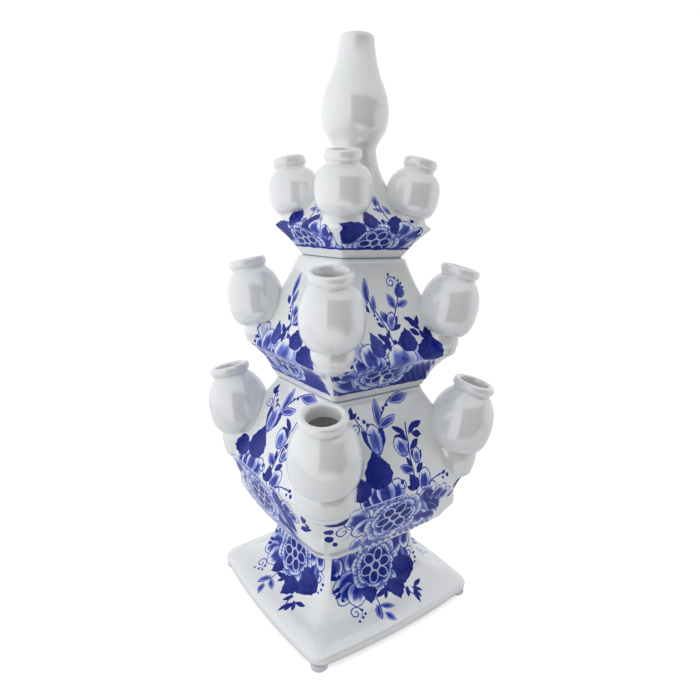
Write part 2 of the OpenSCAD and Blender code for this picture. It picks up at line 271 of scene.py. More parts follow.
class Brush:  # lays strokes of one blue over one another: 0 is bare glaze, 1 the darkest blue
    edge = 0.45  # width of a stroke's soft edge
    press = 1.08  # a full brush spreads
    leafEdge = 0.88  # tones of what a motif doesn't choose
    leafPale = 0.16
    petalEdge = 0.82
    peonyEdge = 0.8
    peonyEye = 0.9
    # pale tone of the eave line: thin glaze, and partly a painted highlight
    thinGlazeAndHighlightTone = 0.1
    seamTone = 0.8
    lineTone = 0.97

    def __init__(self, across, up, level):
        self.across = across
        self.up = up
        self.level = level  # height without the hand's shake
        self.ink = 0.0

    def lay(self, mask, tone):
        self.ink = mask.mixed(self.ink, tone)

    def spot(self, x, y, turn, length, width):  # own axes of a stroke, 1 at its ends and sides
        c, s = math.cos(math.radians(turn)), math.sin(math.radians(turn))
        found = []
        for a, b, size in ((c, s, length * self.press), (-s, c, width * self.press)):
            part = self.up.maths("MULTIPLY_ADD", self.up, b / size, -(a * x + b * y) / size)
            found.append(self.across.maths("MULTIPLY_ADD", self.across, a / size, part))
        return found

    def far(self, along, across):  # distance from a stroke's middle
        square = along.maths("MULTIPLY_ADD", along, along, across * across)
        return square.maths("SQRT", square)

    def leaf(self, x, y, turn, length, width, tone=0.95, rim=0.0):  # pointed at both ends
        along, across = self.spot(x, y, turn, length, width)
        inside = 1 - along.maths("MULTIPLY_ADD", along, along, abs(across))
        soft = width / self.edge
        self.lay(inside.over(soft), self.leafEdge if rim else tone)
        if rim:  # pale inside the outline, blue along the middle
            step = rim / self.edge
            self.lay(inside.over(soft, 0.5 - 1.4 * step), self.leafPale)
            self.lay(inside.over(0.5 * soft, 0.5 - 1.5 * step), along.over(-0.25, tone))

    def heart(self, x, y, turn, length, width, tone=0.93):  # broad dark leaf, round below, with a point
        along, across = self.spot(x, y, turn, length, width)
        low = along.maths("SQRT", along.over(1.0, 1.0).most(0.0))
        wave = along.maths("SINE", along.over(13.0, 1.0)) * 0.04
        inside = along.over(-0.92, 0.92) * low - abs(across) + wave
        inside = inside - (-1.0 - along).most(0.0) * 4.0  # nothing behind the stalk
        self.lay(inside.over(0.9 * width / self.edge), across.over(0.07, tone))

    def ground(self, x, low, high, reach, tone=0.6, lean=1.0):  # streaky wash behind the flowers
        half = (high - low) / 2
        along, across = self.spot(x, low + half, 0, reach, half)
        phase = self.up.maths("MULTIPLY_ADD", self.up, lean, self.across * 1.2)
        streak = phase.maths("SINE", phase)
        inside = streak.maths("MULTIPLY_ADD", streak, 0.06, 1 - abs(along).most(abs(across)))
        self.lay(inside.over(0.4 * half / self.edge), streak.over(0.13, tone))

    def petal(self, x, y, turn, length, width, deep=0.74):  # blue root, white rim, thin outline
        along, across = self.spot(x, y, turn, length, width)
        far = self.far(along, across)
        inside = 1 - far
        soft = width / self.edge
        self.lay(inside.over(soft, 0.5 + 0.55 / self.edge), self.petalEdge)
        streak = across.maths("SINE", across * 9.0)
        wash = along.maths("MULTIPLY_ADD", along, 0.3, far) + streak * 0.1
        fade = [(0.0, deep + 0.2), (1.0, 0.05), (0.5, deep), (0.86, 0.14)]
        self.lay(inside.over(soft), wash.bent(fade))

    def peony(self, x, y, width, height, petals=8, turn=0):
        across, up = self.spot(x, y, turn, width, height)
        far = self.far(across, up)
        angle = across.maths("ARCTAN2", up, across)
        soft = 0.8 * width / self.edge
        for outer, count, shift, deep in ((1.0, petals, 0.0, 0.72), (0.78, petals - 2, 0.5, 0.8)):
            scallop = abs(angle.maths("COSINE", angle.over(count / 2, shift)))
            reach = scallop.maths("POWER", scallop, 0.4).over(0.2 * outer, 0.8 * outer)
            part = far / reach
            streak = angle.maths("SINE", angle * 37.0)
            wash = streak.maths("MULTIPLY_ADD", streak, 0.045, part)
            wash = wash - scallop.over(-0.16, 0.12).most(0.0)
            self.lay((1 - part).over(soft * outer, 0.5 + 0.5 / self.edge), self.peonyEdge)
            fade = [(0.0, deep + 0.16), (1.0, 0.06), (0.66, deep), (0.82, deep - 0.16), (0.91, 0.16)]
            tone = wash.bent(fade)
            self.lay((1 - part).over(soft * outer), tone)
        self.lay((0.6 - far).over(soft), self.peonyEye)
        for ring, size, count in ((0.39, 0.195, 6), (0.0, 0.18, 1)):  # dark cells, each in a pale line
            cell = far
            if ring:
                step = 2 * math.pi / count
                fold = angle.maths("MODULO", angle + (2 * math.pi + 0.4), step) - step / 2
                out = (far * fold.maths("COSINE", fold) - ring) * 0.82
                cell = self.far(out, far * fold.maths("SINE", fold))
            tone = cell.bent([(0.0, 0.97), (size, 0.12), (size * 0.72, 0.92), (size * 0.85, 0.14)])
            self.lay((size - cell).over(soft), tone)

    def bud(self, x, y, turn, size, tone=0.55):  # tulip bud: pale cup between two dark sepals
        lean = math.radians(turn)
        for side in (-1, 1):
            out = Vector((-math.sin(lean), math.cos(lean))) * side * 0.5 * size
            low = Vector((math.cos(lean), math.sin(lean))) * -0.15 * size
            self.leaf(x + out.x + low.x, y + out.y + low.y, turn + 24 * side, size, 0.34 * size, 0.9)
        self.petal(x, y, turn, 0.95 * size, 0.55 * size, tone)

    def stem(self, x, y, turn, length, bend=0.0, width=0.62, tone=0.9):  # bend: rise at its middle
        along, across = self.spot(x, y, turn, length, length)
        square = along * along
        off = abs(square.maths("MULTIPLY_ADD", square, bend / length, across - bend / length))
        line = off.over(-length / self.edge, width / self.edge)
        self.lay(line.least((1 - square).over(length / self.edge)), tone)

    def curl(self, x, y, turn, size, turns=1.6, tone=0.8):  # spiral tendril
        across, up = self.spot(x, y, turn, size, size)
        far = self.far(across, up)
        angle = across.maths("ARCTAN2", up, across)
        phase = far.maths("MULTIPLY_ADD", far, turns, angle / (2 * math.pi))
        off = abs(phase.maths("FRACT", phase) - 0.5)
        line = off.over(-size / turns / self.edge, 0.62 / self.edge)
        self.lay(line.least((1 - far).over(size / self.edge)), tone)

    def dot(self, x, y, size, tone=0.92):
        self.lay((1 - self.far(*self.spot(x, y, 0, size, size))).over(size / self.edge), tone)

    def drop(self, x, y, turn, length, width):  # bare spot left in the blue
        self.leaf(x, y, turn, length, width, 0.0)

    def line(self, level, reach, width=0.75):  # painted line along the foot, bare glaze under it
        self.lay((level - self.up).over(1 / self.edge), 0.0)
        off = abs(self.up - level).over(-1 / self.edge, width / self.edge)
        self.lay(off.least((reach - abs(self.across)).over(1 / self.edge)), self.lineTone)

    def rim(self, level, width=0.6):  # pale line on the eave: glaze running thin over the edge, and partly a painted highlight that makes the rounded eave read sharp
        self.lay(abs(self.level - level).over(-1 / self.edge, width / self.edge), self.thinGlazeAndHighlightTone)

    def seam(self, height=0.5):  # shade of the joint under a tier
        self.lay(abs(self.level).over(-1 / self.edge, height / self.edge), self.seamTone)


# glaze, bare and painted

glazeSet = {
    "white": (0.85, 0.855, 0.82, 1), "cool": (0.81, 0.815, 0.79, 1), "cloudScale": 22.0,
    "roughness": 0.25, "spread": 0.1, "poolScale": 45.0, "bend": 1.22,
    "coatBend": 2.1, "coatRoughness": 0.05, "coatLoss": 1.0, "coatSpread": 0.1,
    "rippleScale": 60.0, "rippleStrength": 0.12, "rippleDepth": 0.0006,
    "shakeScale": 0.16, "shake": 2.2, "washScale": 0.35, "wash": 0.4, "outward": 400.0, "crease": 50,
}
blueStops = [(0.0, glazeSet["white"]), (1.0, (0.005, 0.013, 0.19, 1)), (0.2, (0.48, 0.56, 0.85, 1)),
             (0.5, (0.12, 0.19, 0.64, 1)), (0.75, (0.022, 0.042, 0.37, 1))]


def newMaterial(name):  # material, its shader and the place on the piece
    material = bpy.data.materials.new(name)
    material.use_nodes = True
    tree = material.node_tree
    place = Shade(tree).node("ShaderNodeTexCoord", {}, {}, "Object")
    return material, tree.nodes["Principled BSDF"], place


def glazeFinish(shader, place, colour, coat):  # gloss that pools a little unevenly
    pool = place.noise(glazeSet["poolScale"], 2.0)
    colour.feed(shader, "Base Color")
    (pool * glazeSet["spread"] + glazeSet["roughness"]).feed(shader, "Roughness")
    shader.inputs["IOR"].default_value = glazeSet["bend"]
    shader.inputs["Coat IOR"].default_value = glazeSet["coatBend"]
    shader.inputs["Coat Roughness"].default_value = glazeSet["coatRoughness"]
    coat.feed(shader, "Coat Weight")
    ripple = place.noise(glazeSet["rippleScale"], 1.0)
    sockets = {"Strength": glazeSet["rippleStrength"], "Distance": glazeSet["rippleDepth"], "Height": ripple}
    place.node("ShaderNodeBump", {}, sockets).feed(shader, "Normal")


def bareGlaze(name):
    material, shader, place = newMaterial(name)
    cloud = place.noise(glazeSet["cloudScale"], 3.0)
    colour = cloud.ramp([(0.35, glazeSet["white"]), (0.75, glazeSet["cool"])])
    glazeFinish(shader, place, colour, cloud * -glazeSet["coatSpread"] + 1.0)
    return material


def paintedGlaze(name, s):
    material, shader, place = newMaterial(name)
    x, y, z = [value * (1 / mm) for value in place.xyz()]
    sizeX, sizeY = abs(x), abs(y)
    facing = x.maths("GREATER_THAN", sizeX, sizeY)
    across = facing.mixed(x * y.maths("SIGN", y) * -1.0, y * x.maths("SIGN", x))
    if "slope" in s:  # height along the side, unrolled
        up = (z - sizeX.most(sizeY)) * s["slope"] + s["rise"]
    else:
        rise = z - s["footZ"]
        up = rise.least(s["eave"]) * s["underScale"] + (rise - s["eave"]).most(0.0) * s["roofScale"]
    flat = place.node("ShaderNodeCombineXYZ", {}, {0: across, 1: up, 2: 0.0})
    shaken = []
    for value, seed in ((across, 0.0), (up, 7.0)):  # an unsteady hand
        sockets = {"Vector": flat, "W": seed, "Scale": glazeSet["shakeScale"], "Detail": 2.0}
        shake = place.node("ShaderNodeTexNoise", {"noise_dimensions": "4D"}, sockets)
        shaken.append(value + shake.over(glazeSet["shake"], -glazeSet["shake"] / 2))
    brush = Brush(*shaken, up)
    for motif, *values in s["painting"]:
        getattr(brush, motif)(*values)
    wash = flat.noise(glazeSet["washScale"], 3.0)
    ink = brush.ink * (wash * glazeSet["wash"] + (1 - glazeSet["wash"] / 2))
    outX, outY = place.output("Normal").xyz()[:2]
    hereX, hereY = place.xyz()[:2]
    ink = ((hereX * outX + hereY * outY) * glazeSet["outward"]).mixed(0.0, ink)  # the hollow stays bare
    colour = ink.ramp(blueStops)
    glazeFinish(shader, place, colour, (ink * -glazeSet["coatLoss"] + 1.0).most(0.0))
    return material


def dressed(piece, material, body, slot, *nodes):
    piece.data.materials.clear()
    piece.data.materials.append(material)
    pick(piece)
    bpy.ops.object.shade_smooth_by_angle(angle=math.radians(glazeSet["crease"]))
    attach(piece, body)
    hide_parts(*nodes)


bareWhite = bareGlaze("bare white glaze")

# pedestal; a painting lists motifs of Brush with their own values, in millimetres and degrees

pedestalSet = {
    "footHalf": 74, "neckHalf": 40, "height": 66, "padH": 3.5, "edgeZ": 8.5, "swell": 3.5, "wall": 4.5,
    "rounding": 10, "soleIn": 2.2, "soleEdge": 0.8, "browIn": 9, "browUp": 6.6, "neckL": 20,
    "neckRounding": 9, "neckSwell": 1, "brim": 3.2, "mouthR": 25, "mouthDip": 0.6, "floorIn": 7.5,
    "slope": 0.8, "rise": 54.0,
    "painting": [
        ("ground", -3, 36, 64, 29, 0.62, 0.5),
        ("petal", -35, 58, -90, 6, 5), ("petal", -22, 58, -90, 6.5, 5), ("petal", -13, 58, -90, 6, 4.5),
        ("petal", 18, 58, -95, 6.5, 5), ("petal", 27, 59, -85, 6, 4.5), ("petal", 11, 60, -90, 5, 4),
        ("petal", -29, 46, 205, 9, 6, 0.75), ("petal", -30, 39, 215, 8, 5), ("petal", -22, 36, 235, 8, 6.5),
        ("peony", -2, 49, 19.5, 18, 9),
        ("heart", 21, 38, 250, 10, 9.5), ("heart", 9, 27, 260, 7.5, 7), ("heart", -13, 31, 250, 6, 5.5),
        ("leaf", -4, 29, 200, 5, 1.6), ("leaf", -1, 27, 230, 4, 1.5), ("leaf", 2, 30, 300, 3.5, 1.6),
        ("stem", -12, 20, 250, 8, 1.5), ("leaf", -13.5, 17.5, 245, 5, 2.2, 0.8, 0.3),
        ("leaf", -5, 18.5, 335, 5, 2, 0.8, 0.3),
        ("leaf", -8, 11, 300, 4.5, 2.3, 0.8, 0.3),
        ("stem", 18, 22, 290, 8, -1), ("leaf", 27, 24, 20, 4.5, 1.5), ("leaf", 24, 20, 320, 4, 1.5),
        ("leaf", 20, 15, 260, 5, 1.5),
        ("leaf", 16, 21, 240, 4, 1.5), ("leaf", 22, 17, 280, 4, 1.3),
        ("curl", -29, 24, 0, 4.5), ("dot", -24, 24, 1), ("dot", -23, 20.5, 0.9), ("dot", -30, 17.5, 0.9),
        ("dot", -26, 19, 0.8),
        ("curl", 30, 48, 90, 4.5), ("dot", 35, 46, 1), ("dot", 35.5, 42.5, 0.9), ("dot", 34, 39.5, 0.8),
        ("dot", 21, 50, 1.4),
        ("leaf", -37, 53, 140, 3.5, 1.4), ("leaf", -36, 44, 190, 3.5, 1.4), ("leaf", -36, 40, 200, 3, 1.3),
        ("dot", -37, 56.5, 1.5),
        ("dot", -34, 35.5, 1), ("dot", -33, 52, 1.5),
    ],
}


def makePedestal(s):
    foot, neck, edge, high, sole = s["footHalf"], s["neckHalf"], s["edgeZ"], s["height"], s["padH"]
    swell, wall, mouth = s["swell"], s["wall"], s["mouthR"]
    wide, narrow = (s["rounding"], swell), (s["neckRounding"], s["neckSwell"])
    slim = (s["neckRounding"] - 1, s["neckSwell"])
    hole = (mouth - 0.5, 0.2)  # nearly a circle
    rim = (foot, edge, *wide)
    brow = (foot - s["browIn"], edge + s["browUp"], *wide)
    collar = (neck, high - s["neckL"], *narrow)
    levels = [(foot - s["soleIn"], sole, s["rounding"] - 1, swell)]
    levels += [(foot - s["soleEdge"], sole + 1.5 * s["soleEdge"], *wide), rim]
    levels += curve(rim, (foot - 1.2, edge + 4.2, *wide), brow, 6)
    levels += curve(brow, (neck + 4, edge + 11, *narrow), collar, 16)
    levels += [(neck - 1.7, high - 2, *narrow), (neck - s["brim"], high, *slim)]
    levels += [(mouth, high - s["mouthDip"], *hole), (mouth, high - wall, *hole)]
    throat = (neck - wall - 1, collar[1] - 2, *slim)
    inner = (foot - s["floorIn"], edge, 16, 1)
    levels += [(neck - wall - 2, high - wall - 0.8, *slim), throat]
    levels += curve(throat, (neck - 2, edge + 4, *narrow), inner, 10)
    levels += [(foot - 6, sole + 0.8, 14, 1)]
    piece = castSkin("pedestal_casting", levels, ends=False)
    applied(piece, "SUBSURF", levels=1, render_levels=1)
    return piece


paintedFoot = paintedGlaze("painted pedestal", pedestalSet)
dressed(makePedestal(pedestalSet), paintedFoot, "pedestal_body", "painted_glaze", "pedestal")
print("pedestal done")

# pads under the corners

padSet = {"diameter": 11, "height": pedestalSet["padH"], "bevel": 0.6, "inset": 10.5, "steps": 48,
          "dull": (0.62, 0.63, 0.64, 1), "pale": (0.74, 0.75, 0.76, 1), "cloudScale": 300.0,
          "roughness": 0.4, "spread": 0.2}


def padMaterial(name):
    material, shader, place = newMaterial(name)
    cloud = place.noise(padSet["cloudScale"], 2.0)
    cloud.ramp([(0.3, padSet["dull"]), (0.7, padSet["pale"])]).feed(shader, "Base Color")
    (cloud * padSet["spread"] + padSet["roughness"]).feed(shader, "Roughness")
    return material


reach = (pedestalSet["footHalf"] - pedestalSet["swell"]) * math.sqrt(2) - padSet["inset"]
clearSelection()
bpy.ops.mesh.primitive_cylinder_add(vertices=padSet["steps"], radius=padSet["diameter"] / 2 * mm,
                                    depth=padSet["height"] * mm, location=(0, 0, padSet["height"] / 2 * mm))
pad = bpy.context.object
pad.name = "soft_pad"
bpy.ops.object.transform_apply(location=True)
applied(pad, "BEVEL", width=padSet["bevel"] * mm, segments=3)
frosted = padMaterial("frosted pad")
for corner, turn in corners.items():
    twin = copied(pad, "soft_pad_" + corner)
    settle(twin, turned(turn) @ Matrix.Translation((reach * mm, 0, 0)))
    dressed(twin, frosted, "pedestal_body", "pads", "foot_pad_" + corner)
bpy.data.objects.remove(pad)
print("pads done")

# tiers: cast skin, collars and locating ring, melted together and hollowed

claySet = {
    "voxel": 1.0, "ripples": 2, "wall": 4.5, "ringH": 6, "ringGap": 0.8, "ringIn": 2, "ringSteps": 80,
    "collarSteps": 64, "collarIn": 4, "collarCore": 4, "collarHip": 0.36, "mouthSteps": 96,
    "spongeReach": 12, "spongeFade": 8, "spongeFrom": 2.5, "spongeEdge": 3,
}


def collarProfile(s):
    waist, stub, drop, cup = s["waistD"] / 2, s["stubD"] / 2, s["stubL"], s["cup"]
    top, core = cup + claySet["collarIn"], claySet["collarCore"]
    brim, hip = (waist + 1.2 * cup, cup), (stub, -claySet["collarHip"] * drop)
    profile = [(0, top), (waist - 0.6, top), (waist - 0.15 + cup, cup + 1), brim]
    profile += curve(brim, (stub - 0.6, cup - 0.6), hip, 6)
    profile += curve(hip, (stub - 0.3 * s["stubIn"], -0.7 * drop), (stub - s["stubIn"], -drop), 6)
    return profile + [(core, -s["depth"]), (0, -s["depth"])]


def share(value, span):  # 0 to 1 over a span
    return max(0.0, min(1.0, value / span))


def softenCollars(piece, s):  # rubs the joins of the collars smooth, as a wet sponge does
    group = piece.vertex_groups.new(name="join")
    seats = [onCorner(s, turn).inverted() for turn in corners.values()]
    wet, fade = s["stubD"] / 2 + claySet["spongeReach"], claySet["spongeFade"]
    edge = claySet["spongeEdge"]
    for vert in piece.data.vertices:
        weight = 0.0
        over = share(vert.co.z / mm - s["footZ"] - s["crispTo"], edge)
        for seat in seats:
            place = seat @ vert.co / mm
            near = share(wet - math.hypot(place.x, place.y), fade)
            low = share(-claySet["spongeFrom"] - place.z, edge)
            weight = max(weight, near * low * over)
        if weight:
            group.add([vert.index], weight, "REPLACE")
    applied(piece, "SMOOTH", factor=0.5, iterations=s["blend"], vertex_group="join")


def carved(piece, tool):
    applied(piece, "BOOLEAN", operation="DIFFERENCE", object=tool, solver="EXACT")
    bpy.data.objects.remove(tool)


def raised(levels, lift):
    return [(half, z + lift, rounding, swell) for half, z, rounding, swell in levels]


def locatingRing(s):
    outer, top = s["mouthBelow"] - claySet["ringGap"], s["footZ"] + claySet["ringIn"]
    inner, low = outer - claySet["wall"], s["footZ"] - claySet["ringH"]
    profile = [(inner, top), (inner, low), (outer, low), (outer, top), (inner, top)]
    return spun("ring", profile, claySet["ringSteps"])


def makeTier(name, s):
    parts = [castSkin(name, raised(s["outside"], s["footZ"])), locatingRing(s)]
    for turn in corners.values():
        collar = spun("collar", collarProfile(s), claySet["collarSteps"])
        for vert in collar.data.vertices:  # the stub hangs straighter than the spout leans
            vert.co.x -= min(vert.co.z, 0) * math.tan(math.radians(s["lean"])) * s["droop"]
        settle(collar, onCorner(s, turn))
        parts.append(collar)
    clearSelection()
    for part in parts:
        part.select_set(True)
    bpy.context.view_layer.objects.active = parts[0]
    bpy.ops.object.join()
    piece = bpy.context.object
    applied(piece, "REMESH", mode="VOXEL", voxel_size=claySet["voxel"] * mm)
    applied(piece, "SMOOTH", factor=0.5, iterations=claySet["ripples"])
    softenCollars(piece, s)
    carved(piece, castSkin("hollow", raised(s["hollow"], s["footZ"])))
    if s["mouth"]:
        clearSelection()
        depth, top = 3 * claySet["wall"] * mm, (s["footZ"] + s["height"]) * mm
        bpy.ops.mesh.primitive_cylinder_add(vertices=claySet["mouthSteps"], radius=s["mouth"] * mm,
                                            depth=depth, location=(0, 0, top))
        carved(piece, bpy.context.object)
    return piece


# spouts

spoutSet = {"tenon": 1.2, "wall": 3.6, "neckWall": 3.2, "rollIn": 2.4, "flare": 1.8, "steps": 88}


def spoutProfile(s):
    long, bulb, waist, bore = s["spoutL"], s["bulbD"] / 2, s["waistD"] / 2, s["boreD"] / 2
    throat, lip, brow = s["throatD"] / 2, s["lipD"] / 2, s["spoutL"] - s["lipL"]
    inner, pipe, sink = bulb - spoutSet["wall"], throat - spoutSet["neckWall"], -spoutSet["tenon"]
    foot, belly = (waist - 4, sink), (bulb, long * s["bulge"])
    groove, under = (throat + 0.8, brow - 1.6), (throat + 0.5, brow + 0.9)
    roll, crown = (lip, long - 0.45 * s["lipL"]), (lip - spoutSet["rollIn"], long)
    mouth, neck, hollow = (bore, long - spoutSet["flare"]), (pipe, brow - 1.5), (inner, long * s["bulge"])
    profile = [foot, (waist + 0.06, sink), (waist, 0)]
    profile += curve((waist, 0), (bulb, long * 0.06), belly, 12)
    profile += curve(belly, (bulb, long * 0.67), groove, 14)
    profile += curve(groove, (throat - 0.6, brow - 0.2), under, 6)
    profile += curve(under, (lip, brow + 1.6), roll, 7)
    profile += curve(roll, (lip, long), crown, 8)
    profile += curve(crown, (bore + 0.2, long), mouth, 5)
    profile += curve(mouth, (pipe, long * 0.94), neck, 6)
    profile += curve(neck, (inner, neck[1] - 0.1 * long), hollow, 8)
    profile += curve(hollow, (inner, long * 0.12), foot, 8)
    return profile


def dressTier(name, s):
    body = name + "_body"
    painted = paintedGlaze("painted " + name + " tier", s)
    dressed(makeTier(name + "_casting", s), painted, body, "painted_glaze", name + "_tier")
    first = spun(name + "_spout", spoutProfile(s), spoutSet["steps"])
    for corner, turn in corners.items():
        twin = copied(first, name + "_flower_spout_" + corner)
        settle(twin, onCorner(s, turn))
        dressed(twin, bareWhite, body, "white_glaze", name + "_spout_" + corner)
    bpy.data.objects.remove(first)
    print(name, "tier done")


# lower tier

lowerSet = {
    "footZ": 66, "height": 97.5, "mouth": 25, "mouthBelow": 25,
    "outside": [(58.3, 0, 13, 2), (59.5, 3.5, 13, 2), (62.8, 10.1, 11, 1.5), (66.1, 21.8, 26, 1)]
               + [(70.5, 39, 20, 1)]
               + curve((70.5, 39, 20, 1), (56.6, 68.25, 12, 0.5), (40, 94.5, 6, 0.3), 10)
               + curve((40, 94.5, 6, 0.3), (39.5, 97.5, 5, 0.3), (36.5, 97.5, 4, 0.3), 4),
    "hollow": [(55, 4.5, 14, 0.3), (65, 39, 22, 0.3), (35.5, 93, 4, 0.3)],
    "lean": 15, "seatR": 77.2, "seatZ": 120.5, "stubD": 39, "stubL": 15, "stubIn": 1, "droop": 0.2, "cup": 2,
    "depth": 29, "blend": 60, "crispTo": 40,
    "spoutL": 50, "bulbD": 45.4, "waistD": 30, "boreD": 20.4, "throatD": 26, "lipD": 29.6, "lipL": 6.8,
    "bulge": 0.33, "eave": 39, "underScale": 1.046, "roofScale": 1.139,
    "painting": [
        ("ground", 2, 3.5, 36, 29, 0.5, 0.8),
        ("petal", -40, 33, 150, 9, 7, 0.75), ("petal", -33, 24, 190, 8, 6),
        ("petal", -35, 11, 90, 5, 4.5, 0.5),
        ("petal", -27, 10.5, 90, 4.5, 4, 0.5), ("petal", -19, 10, 110, 5, 4, 0.5),
        ("petal", 18, 35, 60, 8, 6), ("petal", 17, 13, -50, 8, 6),
        ("leaf", 22, 30, -45, 10, 4.5), ("stem", 22, 30, -45, 7, 0, 0.4, 0.35),
        ("petal", 30, 31, 40, 7, 5, 0.8),
        ("leaf", 28, 21, -35, 9, 4.2), ("stem", 28, 21, -35, 6, 0, 0.4, 0.35),
        ("leaf", 26, 12, -20, 7, 3.2, 0.9),
        ("petal", 37, 28, 30, 5, 3.6),
        ("peony", -8, 23, 22.5, 17, 8),
        ("curl", -48, 25, 0, 6), ("dot", -56, 26, 2.2), ("dot", -55, 20, 2), ("dot", -52, 16, 1.5),
        ("leaf", -58, 34, 150, 5, 2),
        ("leaf", -51, 34, 30, 5, 2), ("leaf", 47, 24, 20, 5, 2), ("dot", 50, 28, 1.5),
        ("leaf", 49, 33, 60, 5, 2),
        ("petal", -33, 43, 110, 5, 5), ("petal", -26, 45.5, 100, 7, 5.5), ("petal", -9, 45, 70, 6.5, 5.5),
        ("petal", -18, 46.5, 90, 8, 6.5),
        ("curl", -3.5, 48, 120, 3.4, 1.2), ("dot", -3.5, 49, 1.2),
        ("heart", -20, 61, 92, 11, 10), ("heart", -36, 53, 110, 7.5, 6.5),
        ("stem", -15.5, 70, 92, 5), ("bud", -16, 80, 90, 9),
        ("stem", -23, 91, 118, 9, 1.5), ("curl", -28.5, 89, 200, 4.2), ("dot", -24, 95, 1),
        ("dot", -20.5, 92, 1.2), ("dot", -18.5, 89.5, 1.2),
        ("leaf", -28.5, 99, 70, 3.6, 1.6), ("leaf", -30, 97, 130, 2.6, 1.3),
        ("leaf", -26.5, 97, 40, 2.6, 1.3),
        ("stem", -8, 90, 60, 7), ("leaf", -8.5, 95.5, 82, 9, 3.2, 0.75, 0.4),
        ("leaf", -2.5, 89, 20, 8, 3, 0.75, 0.4),
        ("stem", 0, 98.5, 42, 8, 0.8), ("leaf", 12.5, 102.5, 8, 8.5, 3.4, 0.75, 0.4),
        ("dot", -2.5, 98, 1.2), ("dot", 1, 99.5, 1.1),
        ("stem", 9.5, 62, 84, 22, 1.2, 0.7), ("leaf", 21, 82.5, 12, 5, 1.9), ("leaf", 16, 81, 48, 5, 1.8),
        ("leaf", 19, 76.5, -12, 4, 2.2),
        ("leaf", 4.5, 82, 150, 5, 1.7), ("leaf", 3.5, 77.5, 165, 4, 1.7), ("leaf", 7, 78, 115, 4.5, 1.6),
        ("petal", 3, 71, 115, 6, 4.5, 0.6), ("leaf", 14.5, 70.5, 30, 5, 2.2), ("bud", 14, 63, 75, 4.6),
        ("leaf", 3, 56, 155, 6, 3, 0.8, 0.3),
        ("leaf", 13.5, 54.5, 40, 4, 2), ("leaf", 6, 60, 110, 3.5, 1.4), ("petal", 15.5, 46, 70, 6.5, 4.5),
        ("heart", 6, 47, 110, 5, 4),
        ("leaf", 3, 43, 150, 4, 1.6), ("stem", 26, 43.5, 12, 8, 1.6), ("dot", 34, 46, 1.2),
        ("dot", 36.5, 43.5, 1.2), ("dot", 32, 43, 0.9),
        # the rim motif paints a pale line along the eave: thin glaze, and partly a painted highlight
        ("drop", -4.5, 7, 80, 4, 1.3), ("rim", 40.8),
    ],
}
dressTier("lower", lowerSet)

# middle tier

